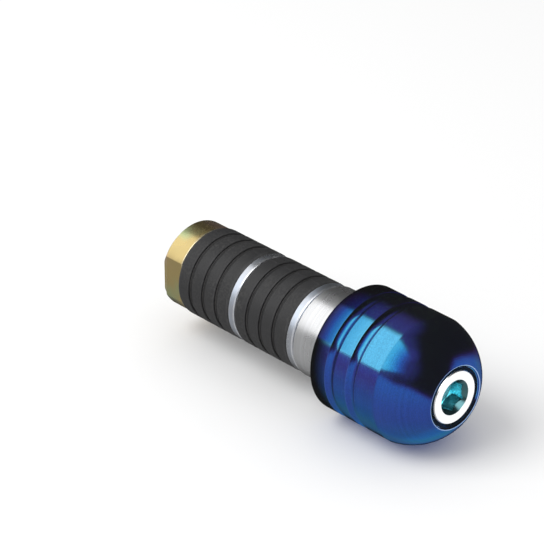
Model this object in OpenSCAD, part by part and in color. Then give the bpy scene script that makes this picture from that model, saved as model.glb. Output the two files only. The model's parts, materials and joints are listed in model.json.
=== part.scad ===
// Bar end weight: a turned weight, its cap screw, and the set that expands in the bar
// The seat on the bar's end is the plane x = 0, the nose points along +X, and +Z is up

/* [Weight] */
// Diameter of the turned body
body_d = 24; // [23:0.5:30]
// Length of the band behind the first groove
rear_band_l = 4; // [3:0.1:8]
// Length of the band between two grooves
middle_band_l = 2.9; // [1.5:0.1:8]
// Length of the band in front of the last groove
front_band_l = 4.7; // [2:0.1:12]
// Length of the domed nose
dome_l = 8.2; // [5:0.1:9]
// Chamfer on the rear edge
rear_chamfer = 0.4; // [0.1:0.05:0.8]

/* [Grooves] */
// How many grooves run round the body
groove_count = 2; // [1:1:4]
// Width of each groove
groove_w = 2.25; // [1.6:0.05:3]
// Depth of each groove
groove_depth = 0.6; // [0.3:0.05:0.8]

/* [Counterbore] */
// Clearance between the screw's head and the counterbore, all round
head_gap = 0.7; // [0.3:0.05:1]
// How far the head's face lies below the rim
head_sink = 0.2; // [0:0.05:1]
// Chamfer on the counterbore's mouth
rim_chamfer = 0.3; // [0.1:0.05:0.5]
// Width of the flat land between that chamfer and the dome
rim_land = 0.15; // [0.05:0.05:0.5]

/* [Cap screw] */
// Diameter over the thread
screw_d = 6; // [5:0.5:6.5]
// Diameter of the head
head_d = 10.1; // [9:0.1:11]
// Height of the head
head_h = 6; // [5:0.5:8]
// Chamfer on the edge of the head's face
head_chamfer = 0.15; // [0.05:0.05:0.5]
// Width of the hexagon across its flats
hex_w = 5; // [4:0.5:5.5]
// Depth of the hexagon
hex_depth = 3.4; // [2.5:0.1:4]
// Diameter of the countersink on the hexagon's mouth
hex_mouth_d = 6.7; // [6.4:0.1:7.5]
// Depth of the pilot hole's conical end below the hexagon
pilot_cone_h = 0.8; // [0.3:0.1:1]
// How far the screw's tip stands out of the nut
tip_l = 2.9; // [1:0.1:8]
// Chamfer on the screw's tip
tip_chamfer = 0.8; // [0.2:0.1:1]

/* [Clearances] */
// Clearance round the screw's shank in the metal pieces
shank_gap = 0.2; // [0.1:0.05:0.4]
// Clearance round the screw's shank in the rubber sleeves
rubber_shank_gap = 0.3; // [0.1:0.05:0.5]
// Clearance between the screw's thread and the nut's
thread_gap = 0.02; // [0.01:0.01:0.05]
// Clearance between the collar's spigot and the weight's recess
spigot_gap = 0.05; // [0.02:0.01:0.15]
// Clearance between the nut's cone and the rubber's mouth
cone_gap = 0.05; // [0.02:0.01:0.2]

/* [Washer under the head] */
// Diameter of the washer
head_washer_d = 11; // [10.5:0.1:11.2]
// Thickness of the washer
head_washer_t = 1.6; // [0.8:0.1:2.5]

/* [Centring collar] */
// Bore of the bar that the set fits
bar_bore_d = 18; // [17:0.5:20]
// Clearance between the collar and the bar's bore
collar_gap = 0.2; // [0.1:0.05:0.5]
// Length of the collar inside the bar
collar_l = 8; // [5:0.5:15]
// Chamfer on the collar's rear edge
collar_chamfer = 0.6; // [0.2:0.1:1.5]
// Diameter of the spigot that enters the weight
spigot_d = 12; // [10:0.5:14]
// Length of that spigot
spigot_l = 2.8; // [1.5:0.1:5]
// Room left beyond the spigot's end in the recess
recess_room = 0.2; // [0.1:0.1:0.5]

/* [Expanding set] */
// Clearance between the thrust washers and the bar's bore
washer_gap = 0.4; // [0.2:0.1:1]
// Thickness of each thrust washer
washer_t = 1.5; // [1:0.1:3]
// Clearance between the rubber sleeves at rest and the bar's bore
rubber_gap = 0.3; // [0.1:0.1:0.8]
// Length of each rubber sleeve
rubber_l = 14; // [10:0.5:20]
// Radius on the rubber sleeves' edges
rubber_edge_r = 0.6; // [0.2:0.1:1]
// How many ring grooves each rubber sleeve has
rubber_ring_count = 3; // [1:1:4]
// Width of each ring groove
rubber_ring_w = 1; // [0.6:0.1:1.4]
// Depth of each ring groove
rubber_ring_depth = 0.5; // [0.2:0.1:0.8]

/* [Clamp nut] */
// Clearance between the nut's rim and the bar's bore
nut_gap = 0.5; // [0.3:0.1:1]
// Length of the rim behind the rubber
nut_rim_l = 5; // [3:0.5:8]
// Chamfer on the rim's rear edge
nut_chamfer = 0.5; // [0.2:0.1:1]
// Length of the cone that enters the rubber
nut_cone_l = 5; // [3:0.5:8]
// Diameter of the cone at its small end
nut_cone_small_d = 9; // [8.5:0.5:10]
// Diameter of the cone where it meets the rim
nut_cone_large_d = 13.6; // [12:0.2:14]
// Width across the rim's two flats
nut_flats_w = 15; // [14:0.2:15.6]

/* [Hidden] */

// Segments of a full circle
$fn = 96;
// How far a cutting shape reaches past what it cuts
over = 1;

body_r = body_d / 2;
head_r = head_d / 2;
bore_r = screw_d / 2 + shank_gap;
counterbore_r = head_r + head_gap;
recess_r = spigot_d / 2 + spigot_gap;
recess_l = spigot_l + recess_room;

// Stations along the weight, forwards from the seat
groove_pitch = groove_w + middle_band_l;
crease_x = rear_band_l + groove_count * groove_w + (groove_count - 1) * middle_band_l + front_band_l;
nose_x = crease_x + dome_l;
// The dome is a sphere through the body's front edge and the nose's rim
nose_r = counterbore_r + rim_chamfer + rim_land;
dome_back = (body_r * body_r - nose_r * nose_r - dome_l * dome_l) / (2 * dome_l);
dome_r = norm([body_r, dome_back]);

// Stations of the screw
head_face_x = nose_x - head_sink;
head_seat_x = head_face_x - head_h;
counterbore_x = head_seat_x - head_washer_t;

// Stations of the set, backwards from the seat
front_washer_x = -collar_l;
front_rubber_x = front_washer_x - washer_t;
middle_washer_x = front_rubber_x - rubber_l;
rear_rubber_x = middle_washer_x - washer_t;
nut_x = rear_rubber_x - rubber_l;
nut_rear_x = nut_x - nut_rim_l;
tip_x = nut_rear_x - tip_l;

bar_bore_r = bar_bore_d / 2;
collar_r = bar_bore_r - collar_gap;
washer_r = bar_bore_r - washer_gap;
rubber_r = bar_bore_r - rubber_gap;
nut_r = bar_bore_r - nut_gap;

// A round solid along the axis, between two stations
module rod(r, from, to) {
    translate([from, 0, 0])
        rotate([0, 90, 0])
            cylinder(r = r, h = to - from);
}

// A cone along the axis, between two stations
module cone(r_from, r_to, from, to) {
    translate([from, 0, 0])
        rotate([0, 90, 0])
            cylinder(r1 = r_from, r2 = r_to, h = to - from);
}

// Turns an outline about the axis: its x is the radius and its y the station
module turned() {
    rotate([90, 0, 90])
        rotate_extrude()
            children();
}

// A rod with a chamfer on its front edge
module rod_front_chamfer(r, from, to, chamfer) {
    rod(r, from, to - chamfer);
    cone(r, r - chamfer, to - chamfer, to);
}

// A rod with a chamfer on its rear edge
module rod_rear_chamfer(r, from, to, chamfer) {
    cone(r - chamfer, r, from, from + chamfer);
    rod(r, from + chamfer, to);
}

// Outline of a ring groove from station 0 to w, one arc from edge to edge
module groove_outline(r, w, depth) {
    arc_r = (w * w / 4 + depth * depth) / (2 * depth);
    translate([r - depth + arc_r, w / 2])
        circle(arc_r);
}

// Half section of the weight: the radius runs to the right and the station upwards
module weight_outline() {
    difference() {
        union() {
            polygon([
                [0, 0], [body_r - rear_chamfer, 0], [body_r, rear_chamfer],
                [body_r, crease_x], [0, crease_x]
            ]);
            intersection() {
                translate([0, crease_x - dome_back])
                    circle(dome_r);
                translate([0, crease_x])
                    square([body_r, dome_l]);
            }
        }
        for (i = [0 : groove_count - 1])
            translate([0, rear_band_l + i * groove_pitch])
                groove_outline(body_r, groove_w, groove_depth);
        translate([-over, -over])
            square([recess_r + over, recess_l + over]);
        translate([-over, -over])
            square([bore_r + over, nose_x + 2 * over]);
        translate([-over, counterbore_x])
            square([counterbore_r + over, nose_x]);
        polygon([
            [0, nose_x - rim_chamfer], [counterbore_r, nose_x - rim_chamfer],
            [counterbore_r + rim_chamfer + over, nose_x + over], [0, nose_x + over]
        ]);
    }
}

module weight() {
    color([0.05, 0.16, 0.55])
        turned()
            weight_outline();
}

module cap_screw() {
    hex_r = hex_w / 2 / cos(30);
    mouth_r = hex_mouth_d / 2;
    hex_end_x = head_face_x - hex_depth;
    color([0.78, 0.8, 0.82])
        difference() {
            union() {
                rod_rear_chamfer(screw_d / 2, tip_x, head_seat_x, tip_chamfer);
                rod_front_chamfer(head_r, head_seat_x, head_face_x, head_chamfer);
            }
            translate([hex_end_x, 0, 0])
                rotate([0, 90, 0])
                    cylinder(r = hex_r, h = hex_depth + over, $fn = 6);
            cone(mouth_r - hex_w / 2, mouth_r + over, head_face_x - hex_w / 2, head_face_x + over);
            cone(0, hex_w / 2, hex_end_x - pilot_cone_h, hex_end_x);
        }
}

// A flat ring round the screw
module washer(r, bore, from, to) {
    difference() {
        rod(r, from, to);
        rod(bore, from - over, to + over);
    }
}

module head_washer() {
    color([0.7, 0.72, 0.74])
        washer(head_washer_d / 2, bore_r, counterbore_x, head_seat_x);
}

module centring_collar() {
    color([0.72, 0.73, 0.75])
        difference() {
            union() {
                rod_rear_chamfer(collar_r, -collar_l, 0, collar_chamfer);
                rod(spigot_d / 2, 0, spigot_l);
            }
            rod(bore_r, -collar_l - over, spigot_l + over);
        }
}

module front_washer() {
    color([0.66, 0.67, 0.7])
        washer(washer_r, bore_r, front_rubber_x, front_washer_x);
}

// Outline of a rubber sleeve from station 0 to its length, with ring grooves
module rubber_outline(bore) {
    ring_pitch = rubber_l / (rubber_ring_count + 1);
    difference() {
        union() {
            translate([bore, 0])
                square([rubber_r - rubber_edge_r - bore, rubber_l]);
            translate([bore, rubber_edge_r])
                square([rubber_r - bore, rubber_l - 2 * rubber_edge_r]);
            for (y = [rubber_edge_r, rubber_l - rubber_edge_r])
                translate([rubber_r - rubber_edge_r, y])
                    circle(rubber_edge_r);
        }
        for (i = [1 : rubber_ring_count])
            translate([rubber_r - rubber_ring_depth, i * ring_pitch - rubber_ring_w / 2])
                square([rubber_ring_depth + over, rubber_ring_w]);
    }
}

module rubber_sleeve(from) {
    translate([from, 0, 0])
        turned()
            rubber_outline(screw_d / 2 + rubber_shank_gap);
}

module front_rubber() {
    color([0.05, 0.05, 0.055])
        rubber_sleeve(middle_washer_x);
}

module middle_washer() {
    color([0.66, 0.67, 0.7])
        washer(washer_r, bore_r, rear_rubber_x, middle_washer_x);
}

module rear_rubber() {
    color([0.05, 0.05, 0.055])
        difference() {
            rubber_sleeve(nut_x);
            nut_cone(cone_gap, over);
        }
}

// The nut's cone, grown all round by a gap and lengthened behind by some more
module nut_cone(gap, behind) {
    small_r = nut_cone_small_d / 2;
    large_r = nut_cone_large_d / 2;
    flare = (large_r - small_r) / nut_cone_l;
    front = nut_cone_l + gap;
    cone(large_r + gap + flare * behind, large_r + gap - flare * front, nut_x - behind, nut_x + front);
}

module clamp_nut() {
    color([0.8, 0.76, 0.6])
        difference() {
            union() {
                intersection() {
                    rod_rear_chamfer(nut_r, nut_rear_x, nut_x, nut_chamfer);
                    translate([nut_rear_x - over, -nut_flats_w / 2, -nut_r - over])
                        cube([nut_rim_l + 2 * over, nut_flats_w, 2 * (nut_r + over)]);
                }
                nut_cone(0, 0);
            }
            rod(screw_d / 2 + thread_gap, nut_rear_x - over, nut_x + nut_cone_l + over);
        }
}

weight();
cap_screw();
head_washer();
centring_collar();
front_washer();
front_rubber();
middle_washer();
rear_rubber();
clamp_nut();
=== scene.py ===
"""Bar end weight: the looks of a turned and anodised weight and of the set that clamps it in a bar.

Every piece is a half section, a list of corners in metres, which one node tree turns about the X axis.
The seat on the bar's end is the plane x = 0, the nose points along +X, and +Z is up.
"""

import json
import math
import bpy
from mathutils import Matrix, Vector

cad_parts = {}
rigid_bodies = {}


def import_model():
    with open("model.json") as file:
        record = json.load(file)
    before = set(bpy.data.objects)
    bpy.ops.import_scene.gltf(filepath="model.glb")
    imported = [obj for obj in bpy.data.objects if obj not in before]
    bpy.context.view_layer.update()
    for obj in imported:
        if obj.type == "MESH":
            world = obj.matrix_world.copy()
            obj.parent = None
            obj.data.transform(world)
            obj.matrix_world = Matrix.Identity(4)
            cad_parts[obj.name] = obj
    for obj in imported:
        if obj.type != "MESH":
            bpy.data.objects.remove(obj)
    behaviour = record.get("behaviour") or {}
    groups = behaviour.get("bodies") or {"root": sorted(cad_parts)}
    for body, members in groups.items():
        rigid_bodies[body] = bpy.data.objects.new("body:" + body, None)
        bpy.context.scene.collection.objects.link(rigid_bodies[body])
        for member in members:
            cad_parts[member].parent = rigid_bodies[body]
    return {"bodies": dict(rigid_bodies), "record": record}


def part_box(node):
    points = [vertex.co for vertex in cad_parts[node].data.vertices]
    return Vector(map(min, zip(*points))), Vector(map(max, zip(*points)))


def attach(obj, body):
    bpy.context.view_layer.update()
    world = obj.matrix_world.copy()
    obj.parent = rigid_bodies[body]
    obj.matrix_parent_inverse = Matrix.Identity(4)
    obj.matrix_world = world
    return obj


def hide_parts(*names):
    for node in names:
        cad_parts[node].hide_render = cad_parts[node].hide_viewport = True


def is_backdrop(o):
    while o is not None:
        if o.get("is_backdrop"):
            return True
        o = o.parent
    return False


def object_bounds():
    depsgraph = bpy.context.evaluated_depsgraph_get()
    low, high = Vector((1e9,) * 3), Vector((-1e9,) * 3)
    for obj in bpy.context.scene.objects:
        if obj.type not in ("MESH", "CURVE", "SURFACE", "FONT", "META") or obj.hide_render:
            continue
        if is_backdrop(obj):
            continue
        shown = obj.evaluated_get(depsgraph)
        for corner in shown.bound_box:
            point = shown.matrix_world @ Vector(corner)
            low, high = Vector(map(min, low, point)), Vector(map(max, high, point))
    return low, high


bl_info = {
    "name": "Bar End Weight",
    "version": (1, 0, 0),
    "blender": (4, 5, 0),
    "location": "3D View > Sidebar > Bar End",
    "description": "Builds an anodised bar end weight, its cap screw and its expanding set",
    "category": "Object",
}

from collections import namedtuple
from functools import partialmethod

import bmesh
import bpy
from bpy.props import FloatProperty, FloatVectorProperty, IntProperty, PointerProperty
from mathutils import Matrix, Vector

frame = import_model()
CAD_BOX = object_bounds()
BODY = next(iter(frame["bodies"]))

MM = 0.001
FULL_TURN = 2 * math.pi


def front(node):
    """Station of a solid's front end."""
    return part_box(node)[1].x


def rear(node):
    """Station of a solid's rear end."""
    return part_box(node)[0].x


def radius(node):
    """Largest radius of a solid."""
    return max(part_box(node)[1].yz)


def weight_middle():
    """The middle of the weight, on its axis."""
    return Vector(((rear("weight") + front("weight")) / 2, 0, 0))


# Sizes and colours that a user may change


def size(name, description, default):
    """A length or a station along the axis."""
    return FloatProperty(name=name, description=description, default=default, unit="LENGTH", precision=5)


def amount(name, description, default, high=1.0):
    """A share or a plain factor."""
    return FloatProperty(name=name, description=description, default=default, min=0.0, max=high)


def count(name, description, default):
    """A whole number."""
    return IntProperty(name=name, description=description, default=default, min=1)


def colour(name, description, default):
    """A linear colour."""
    return FloatVectorProperty(
        name=name, description=description, default=default, subtype="COLOR", min=0.0, max=1.0
    )


class WeightSizes(bpy.types.PropertyGroup):
    """Sizes of the turned weight"""

    body_radius: size("Body radius", "Radius of the turned body", radius("weight"))
    crease: size("Dome start", "Station where the dome starts", 16.1 * MM)
    rear_chamfer: size("Rear chamfer", "Chamfer on the rear edge", 0.4 * MM)
    groove_count: count("Grooves", "How many grooves run round the body", 2)
    first_groove: size("First groove", "Station of the first groove's rear edge", 4 * MM)
    groove_pitch: size("Groove pitch", "From one groove to the next", 5.15 * MM)
    groove_width: size("Groove width", "Width of each groove", 2.25 * MM)
    groove_depth: size("Groove depth", "Depth of each groove", 0.6 * MM)
    counterbore_radius: size("Counterbore radius", "Radius of the hole for the screw's head", 5.75 * MM)
    rim_chamfer: size("Rim chamfer", "Chamfer on the counterbore's mouth", 0.3 * MM)
    rim_land: size("Rim land", "Width of the flat ring round that chamfer", 0.15 * MM)
    recess_radius: size("Recess radius", "Radius of the recess for the collar's spigot", 6.05 * MM)
    recess_room: size("Recess room", "Room between the spigot's end and the recess", 0.2 * MM)


class ScrewSizes(bpy.types.PropertyGroup):
    """Sizes of the cap screw"""

    head_height: size("Head height", "Height of the screw's head", 6 * MM)
    head_chamfer: size("Head chamfer", "Chamfer on the edge of the head's face", 0.15 * MM)
    shank_radius: size("Shank radius", "Radius of the plain shank", 3 * MM)
    hexagon_width: size("Hexagon width", "Width of the hexagon across its flats", 5 * MM)
    hexagon_depth: size("Hexagon depth", "Depth of the hexagon", 3.4 * MM)
    mouth_radius: size("Mouth radius", "Radius of the countersink on the hexagon's mouth", 3.35 * MM)
    pilot_cone: size("Pilot cone", "Height of the cone below the hexagon", 0.8 * MM)
    ribs: count("Ribs", "How many ribs the knurl on the head has", 60)
    rib_depth: size("Rib depth", "Depth of the knurl's valleys", 0.16 * MM)
    thread_pitch: size("Thread pitch", "Lead of the screw's thread", 1 * MM)
    thread_length: size("Thread length", "Length of the screw's thread", 24 * MM)
    tip_radius: size("Tip radius", "Radius of the screw's flat tip", 2.2 * MM)


class SetSizes(bpy.types.PropertyGroup):
    """Sizes of the set that expands in the bar"""

    bore_radius: size("Bore radius", "Radius of the bores round the screw's shank", 3.2 * MM)
    spigot_radius: size("Spigot radius", "Radius of the collar's spigot", 6 * MM)
    collar_chamfer: size("Collar chamfer", "Chamfer on the collar's rear edge", 0.6 * MM)
    die_roll: size("Die roll", "Rounding of a washer's punched edge", 0.3 * MM)
    sleeve_bore: size("Sleeve bore", "Radius of the sleeves' bore", 3.3 * MM)
    sleeve_edge: size("Sleeve edge", "Radius on the sleeves' edges", 0.6 * MM)
    ring_count: count("Rings", "How many ring grooves each sleeve has", 3)
    ring_width: size("Ring width", "Width of each ring groove", 1 * MM)
    ring_depth: size("Ring depth", "Depth of each ring groove", 0.5 * MM)
    seam_height: size("Seam height", "Height of the mould's parting line on the sleeves", 0.06 * MM)
    cone_length: size("Cone length", "Length of the nut's cone", 5 * MM)
    cone_small: size("Cone small radius", "Radius of the cone at its small end", 4.5 * MM)
    cone_large: size("Cone large radius", "Radius of the cone at the nut's rim", 6.8 * MM)
    cone_gap: size("Cone gap", "Clearance between the nut's cone and the rubber", 0.05 * MM)
    nut_chamfer: size("Nut chamfer", "Chamfer on the rim's rear edge", 0.5 * MM)
    nut_mouth: size("Nut mouth radius", "Radius of the countersinks on the nut's bore", 3.45 * MM)
    thread_gap: size("Thread gap", "Clearance between the nut's thread and the screw's", 0.03 * MM)


class Finishes(bpy.types.PropertyGroup):
    """Colours and finishes"""

    dye: colour("Dye", "Colour of the anodised weight", (0.028, 0.095, 0.39))
    worn_dye: colour("Worn dye", "Colour of the weight's edges, where the dye is thin", (0.42, 0.65, 0.98))
    # A paler blue painted in the counterbore, standing in for the light that bounces there
    counterbore_painted_bounce: colour("Counterbore bounce", "Colour of the weight in its counterbore", (0.12, 0.5, 0.9))
    dye_roughness: amount("Anodised roughness", "Roughness of the anodised surface", 0.12)
    haze: amount("Haze", "Weight of the dull film on the anodised surface", 0.15)
    # A faint glow painted evenly over the anodised weight, though it is no lamp
    painted_glow: amount("Painted glow", "Light that this film scatters evenly", 0.0065, 0.1)
    steel: colour("Screw steel", "Colour of the cap screw", (0.8, 0.81, 0.82))
    # A teal painted inside the hexagon, standing in for a reflection
    socket_painted_reflection: colour("Socket tint", "Colour inside the screw's hexagon", (0.36, 0.82, 0.9))
    zinc: colour("Zinc", "Colour of the washers", (0.5, 0.52, 0.56))
    aluminium: colour("Aluminium", "Colour of the bare turned collar", (0.6, 0.605, 0.61))
    rubber: colour("Rubber", "Colour of the sleeves", (0.02, 0.02, 0.021))
    passivation: colour("Passivation", "Colour of the nut's zinc", (0.55, 0.43, 0.19))


class StageSettings(bpy.types.PropertyGroup):
    """Light, floor and camera"""

    azimuth: FloatProperty(
        name="Azimuth", description="Where the camera stands round the object, in degrees", default=47.4
    )
    elevation: FloatProperty(
        name="Elevation", description="Height of the camera above the horizon, in degrees", default=28.1
    )
    softbox: amount("Softbox", "Radiance of the softbox where it is brightest", 5.3, 50)
    plain_share: amount("Plain share", "How bright the bare metals and the rubber see that softbox", 0.16)
    floor_tone: amount("Floor tone", "Share of light that the floor returns", 0.86)
    ambient: amount("Ambient", "Light that falls on the floor from all round", 0.82, 5)
    key: amount("Key light", "Power of the key light in watts", 3.0, 500)


# Node trees


NODE_SPACING = 200


class Nodes:
    """Fills a node tree. What a call adds has its inputs linked or set."""

    def __init__(self, tree):
        self.tree = tree

    def add(self, kind, inputs=(), **settings):
        """Adds a node. Inputs are values or sockets by name or number."""
        node = self.tree.nodes.new(kind)
        node.location = (NODE_SPACING * len(self.tree.nodes), 0)
        for name, value in settings.items():
            setattr(node, name, value)
        for name, value in dict(inputs).items():
            self.put(node.inputs[name], value)
        return node

    def put(self, socket, value):
        """Links a socket to another, or sets its value. A colour is three numbers."""
        if isinstance(value, bpy.types.NodeSocket):
            self.tree.links.new(value, socket)
        else:
            socket.default_value = (*value, 1.0) if socket.type == "RGBA" else value

    def math(self, operation, *values):
        """A plain calculation."""
        return self.add("ShaderNodeMath", enumerate(values), operation=operation).outputs[0]

    plus = partialmethod(math, "ADD")
    minus = partialmethod(math, "SUBTRACT")
    times = partialmethod(math, "MULTIPLY")
    over = partialmethod(math, "DIVIDE")
    least = partialmethod(math, "MINIMUM")
    most = partialmethod(math, "MAXIMUM")

    def vector(self, operation, inputs, output=0):
        """A calculation with vectors or colours."""
        return self.add("ShaderNodeVectorMath", inputs, operation=operation).outputs[output]

    def scale(self, shade, factor):
        """A colour times a number."""
        return self.vector("SCALE", {0: shade, "Scale": factor})

    def dot(self, a, b):
        """How far one direction points along another."""
        return self.vector("DOT_PRODUCT", {0: a, 1: b}, "Value")

    def split(self, vector):
        """The three parts of a vector."""
        return self.add("ShaderNodeSeparateXYZ", {0: vector}).outputs

    def mix(self, factor, a, b):
        """A number between a and b."""
        return self.add("ShaderNodeMix", {0: factor, 2: a, 3: b}, data_type="FLOAT").outputs[0]

    def blend(self, factor, a, b, mode="MIX"):
        """A colour between a and b."""
        node = self.add("ShaderNodeMix", {0: factor, 6: a, 7: b}, data_type="RGBA", blend_type=mode)
        return node.outputs[2]

    def ramp(self, value, low, high, to_low=0.0, to_high=1.0, kind="SMOOTHSTEP"):
        """Maps a value from one range to another, clamped."""
        inputs = {0: value, 1: low, 2: high, 3: to_low, 4: to_high}
        return self.add("ShaderNodeMapRange", inputs, interpolation_type=kind).outputs[0]

    def stops(self, value, low, high, stops):
        """A colour that runs through stops, each a value and a colour."""
        share = self.ramp(value, low, high, kind="LINEAR")
        ramp = self.add("ShaderNodeValToRGB", {0: share})
        elements = ramp.color_ramp.elements
        while len(elements) < len(stops):
            elements.new(1.0)
        for element, (at, shade) in zip(elements, stops):
            element.position = (at - low) / (high - low)
            element.color = (*shade, 1.0)
        return ramp.outputs[0]

    def place(self):
        """Where a point lies in its object's own coordinates."""
        return self.add("ShaderNodeTexCoord").outputs["Object"]

    def from_axis(self):
        """Station along the axis and distance from it."""
        x, y, z = self.split(self.place())
        return x, self.math("SQRT", self.plus(self.times(y, y), self.times(z, z)))

    def mark(self, name):
        """A number that a piece's mesh holds at its points."""
        return self.add("ShaderNodeAttribute", attribute_name=name).outputs["Fac"]

    def noise(self, scale, detail, roughness):
        """Noise in space."""
        inputs = {"Vector": self.place(), "Scale": scale, "Detail": detail, "Roughness": roughness}
        return self.add("ShaderNodeTexNoise", inputs).outputs[0]

    def noise_along(self, value, detail, roughness):
        """Noise along one number."""
        inputs = {"W": value, "Scale": 1.0, "Detail": detail, "Roughness": roughness}
        return self.add("ShaderNodeTexNoise", inputs, noise_dimensions="1D").outputs[0]

    def group(self, tree, *values):
        """A node group, with its inputs set in their order."""
        return self.add("ShaderNodeGroup", enumerate(values), node_tree=tree).outputs


def new_group(name, inputs, outputs, kind="ShaderNodeTree"):
    """A node group with its sockets, its nodes and its two ends."""
    tree = bpy.data.node_groups.new(name, kind)
    for direction, sockets in (("INPUT", inputs), ("OUTPUT", outputs)):
        for label, holds, *default in sockets:
            socket = tree.interface.new_socket(label, in_out=direction, socket_type="NodeSocket" + holds)
            if default:
                socket.default_value = default[0]
    n = Nodes(tree)
    return tree, n, n.add("NodeGroupInput").outputs, n.add("NodeGroupOutput").inputs


def shared(name):
    """Has a node group built once, under a name by which later calls find it."""

    def keep(build):
        return lambda: bpy.data.node_groups.get(name) or build(name)

    return keep


# Half sections


Corner = namedtuple("Corner", "x r rounding kind", defaults=(0.0, ""))
Point = namedtuple("Point", "x r edge kind")

ARC_STEPS = 5
GROOVE_STEPS = 18
# Shading stays true beside a rounded edge because a further point lies this far from it
GUARD = 0.05 * MM
# What a point of a section may be marked as, each an attribute that the turning tree reads
KINDS = ("hexagon", "leaning", "ribbed", "threaded", "moulded", "bare")


def rounded_corner(before, corner, after):
    """The points of one corner: an arc between two guard points, marked as an outer or inner edge."""
    here = Vector((corner.x, corner.r))
    back = (Vector((before.x, before.r)) - here).normalized()
    ahead = (Vector((after.x, after.r)) - here).normalized()
    half = back.angle(ahead) / 2
    centre = here + (back + ahead).normalized() * corner.rounding / math.sin(half)
    reach = corner.rounding / math.tan(half)
    starts, ends = here + back * reach - centre, here + ahead * reach - centre
    edge = 1.0 if back.cross(ahead) < 0 else -1.0
    yield Point(*(here + back * (reach + GUARD)), 0.0, corner.kind)
    for step in range(ARC_STEPS + 1):
        place = centre + starts.normalized().slerp(ends.normalized(), step / ARC_STEPS) * corner.rounding
        yield Point(*place, edge, corner.kind)
    yield Point(*(here + ahead * (reach + GUARD)), 0.0, corner.kind)


def section(corners):
    """The points of a half section, with its corners rounded. The solid lies to the left of the path."""
    points = []
    for place, corner in enumerate(corners):
        if corner.rounding:
            after = corners[(place + 1) % len(corners)]
            points.extend(rounded_corner(corners[place - 1], corner, after))
        else:
            points.append(Point(corner.x, corner.r, 0.0, corner.kind))
    return points


def ring(corners):
    """A half section that is closed on itself."""
    points = section(corners)
    return points + points[:1]


def groove(rear_x, width, outer, depth, edge, floor, kind):
    """Corners of a ring groove, from its front edge to its rear edge."""
    yield Corner(rear_x + width, outer, edge, kind)
    yield Corner(rear_x + width, outer - depth, floor)
    yield Corner(rear_x, outer - depth, floor)
    yield Corner(rear_x, outer, edge, kind)


def round_groove(rear_x, width, outer, depth, edge):
    """Corners of a groove that is one arc across, from its front edge to its rear edge."""
    bend = (width**2 / 4 + depth**2) / (2 * depth)
    reach = math.asin(width / 2 / bend)
    for step in range(GROOVE_STEPS + 1):
        tilt = reach * (1 - 2 * step / GROOVE_STEPS)
        rounding = edge if step in (0, GROOVE_STEPS) else 0.0
        x, sunk = rear_x + width / 2 + bend * math.sin(tilt), depth - bend * (1 - math.cos(tilt))
        yield Corner(x, outer - sunk, rounding)


# Flats and slopes of a metric thread as shares of its pitch, from one crest's front edge backwards
THREAD_FORM = ((0.0, 0.0, 0.7), (0.125, 0.0, 0.7), (0.4375, 1.0, -0.7), (0.6875, 1.0, -0.7))
THREAD_HEIGHT = 0.575
CREST_ALLOWANCE = 0.03 * MM


def thread(sizes, start, end, gap=0.0):
    """Points of a thread from its front to its rear, one turn longer than it shows."""
    pitch = sizes.thread_pitch
    crest = sizes.shank_radius - CREST_ALLOWANCE + gap
    origin = front_of_thread(sizes)
    first = math.floor((origin - end) / pitch)
    last = math.ceil((origin - start) / pitch) + 1
    points = []
    for turn in range(first, last):
        for share, depth, edge in THREAD_FORM:
            x = origin - (turn + share) * pitch
            points.append(Point(x, crest - depth * THREAD_HEIGHT * pitch, edge, "threaded"))
    return points


def front_of_thread(sizes):
    """Station where the screw's thread runs out into its shank."""
    return rear("cap_screw") + sizes.thread_length


# The tree that turns a section


TURNED_INPUTS = (
    ("Section", "Geometry"),
    ("Segments", "Int", 192),
    ("Half Width", "Float", 1.0),
    ("Ribs", "Int", 0),
    ("Rib Depth", "Float", 0.0),
    ("Seam Height", "Float", 0.0),
    ("Thread Lead", "Float", 0.0),
    ("Thread Start", "Float", 0.0),
    ("Thread End", "Float", 0.0),
    ("Start Radius", "Float", 0.0),
    ("End Radius", "Float", 0.0),
    ("Material", "Material"),
)
HEXAGON_STEP = math.radians(60)
SEAM_WIDTH = 0.03
WELD = 0.0008 * MM
SHARP = math.radians(35)


def hexagon_radius(n, apothem, angle):
    """Radius of a hexagon at an angle, with its corners at 30 degrees and every 60 from there."""
    turned = n.plus(angle, HEXAGON_STEP / 2)
    within = n.minus(n.math("MODULO", turned, HEXAGON_STEP), HEXAGON_STEP / 2)
    return n.over(apothem, n.math("COSINE", within))


def held_between(n, value, middle, reach):
    """A value kept within a distance of a middle."""
    capped = n.least(value, n.plus(middle, reach))
    return n.most(capped, n.minus(middle, reach))


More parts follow.
